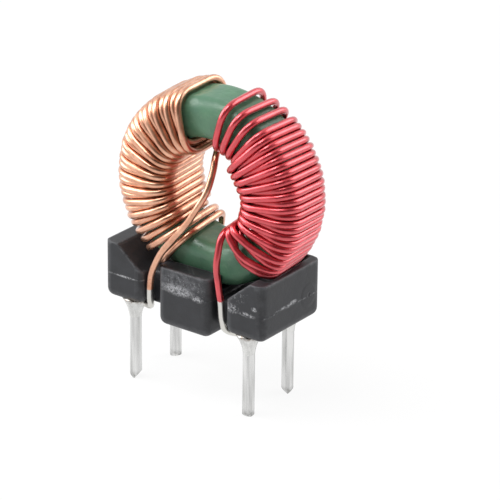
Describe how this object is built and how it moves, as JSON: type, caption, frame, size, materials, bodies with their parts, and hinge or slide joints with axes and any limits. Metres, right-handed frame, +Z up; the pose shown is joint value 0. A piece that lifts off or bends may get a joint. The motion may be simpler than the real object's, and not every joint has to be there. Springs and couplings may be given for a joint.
{
  "type": "common mode toroidal inductor",
  "caption": "Coated ring core set on edge in a moulded base, with two windings of enamelled wire side by side and round pins for a circuit board.",
  "frame": {"origin": "midway between the four pins, on the plane of the board on which the base's foot stands", "axes": "+Z up, away from the board; X along the base and from one winding to the other; +Y from the front to the back, along the ring's axis; copper winding at -X, red winding at +X"},
  "size_m": [0.0152, 0.0071, 0.0228],
  "materials": {
    "base": "moulded, semi-matte, lightly scuffed",
    "core": "dull green coating with a soft sheen",
    "copper_enamel": "copper wire under clear enamel",
    "red_enamel": "copper wire under red enamel",
    "tinned": "bright tin plating",
    "solder": "bright solder"
  },
  "bodies": {
    "root": {"base": "base", "core": "core", "copper_winding": "copper_enamel", "red_winding": "red_enamel", "pin_front_left": "tinned", "pin_front_right": "tinned", "pin_back_left": "tinned", "pin_back_right": "tinned", "solder_front_left": "solder", "solder_front_right": "solder", "solder_back_left": "solder", "solder_back_right": "solder"}
  },
  "joints": []
}
